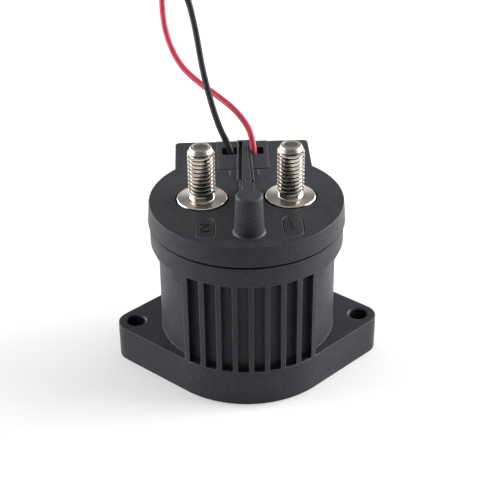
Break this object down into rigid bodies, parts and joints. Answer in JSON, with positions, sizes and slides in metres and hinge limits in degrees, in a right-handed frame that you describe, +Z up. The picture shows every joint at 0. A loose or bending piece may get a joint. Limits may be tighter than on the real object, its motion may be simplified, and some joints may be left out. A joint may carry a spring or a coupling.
{
  "type": "high voltage dc contactor",
  "caption": "Sealed high voltage DC contactor with screw terminals, a barrier between them, a flange with ears for mounting, and flexible coil leads.",
  "frame": {"origin": "centre of the flange's underside, under the middle of the cup", "axes": "+Z up from the mounting face, through the terminals; +X to the right terminal, seen from the front; +Y to the rear, where the leads leave"},
  "size_m": [0.08, 0.1471, 0.1001],
  "materials": {
    "case_plastic": "moulded, slightly satin",
    "soft_rubber": "matt",
    "plated_terminal": "turned and plated, satin",
    "contact_silver": "satin",
    "chamber_ceramic": "matt",
    "seal_metal": "satin",
    "shield_plastic": "matt",
    "bare_copper": "satin",
    "ferrite": "matt",
    "inner_plastic": "matt",
    "yoke_steel": "satin, plated",
    "sleeve_steel": "bright drawn",
    "bobbin_plastic": "matt",
    "enamelled_copper": "gloss enamel",
    "wrap_tape": "satin",
    "tinned_metal": "bright tinned",
    "spring_steel": "drawn wire",
    "board_green": "satin",
    "part_black": "matt",
    "black_insulation": "satin, flexible",
    "red_insulation": "satin, flexible"
  },
  "bodies": {
    "housing": {"housing": "case_plastic", "cover": "case_plastic", "lead_insert": "case_plastic", "cover_gasket": "soft_rubber", "terminal_stud_left": "plated_terminal", "terminal_stud_right": "plated_terminal", "terminal_seals": "soft_rubber", "fixed_contact_tips": "contact_silver", "arc_chamber": "chamber_ceramic", "chamber_seal_ring": "seal_metal", "base_shield": "shield_plastic", "gas_fill_tube": "bare_copper", "magnet_front": "ferrite", "magnet_rear": "ferrite", "magnet_carrier": "inner_plastic", "yoke_can": "yoke_steel", "yoke_plate": "yoke_steel", "fixed_core": "yoke_steel", "guide_sleeve": "sleeve_steel", "core_buffer": "soft_rubber", "bobbin": "bobbin_plastic", "coil_winding": "enamelled_copper", "coil_wrap": "wrap_tape", "coil_pins": "tinned_metal", "return_spring": "spring_steel", "control_board": "board_green", "capacitor": "part_black", "power_transistor": "part_black", "flyback_diode": "part_black", "control_chip": "part_black", "chip_resistors": "part_black", "black_lead": "black_insulation", "black_lead_coil": "black_insulation", "red_lead": "red_insulation", "red_lead_coil": "red_insulation", "lead_ends": "tinned_metal"},
    "plunger": {"moving_core": "yoke_steel", "plunger_shaft": "sleeve_steel", "spring_seat": "sleeve_steel", "shaft_clip": "sleeve_steel", "contact_spring": "spring_steel"},
    "bridge": {"contact_bridge": "bare_copper", "moving_contact_tips": "contact_silver"}
  },
  "joints": [
    {"name": "plunger_slide", "type": "slide", "parent": "housing", "child": "plunger", "axis": [0, 0, 1], "range_m": [0, 0.0019], "stiffness_N_per_m": 600, "springref_m": -0.003, "deforming": ["return_spring"]},
    {"name": "bridge_slide", "type": "slide", "parent": "plunger", "child": "bridge", "axis": [0, 0, 1], "range_m": [-0.0005, 0], "stiffness_N_per_m": 4000, "springref_m": 0.0015, "deforming": ["contact_spring"]}
  ],
  "couplings": [
    {"joint": "bridge_slide", "follows": "plunger_slide", "ratio": -0.25}
  ]
}
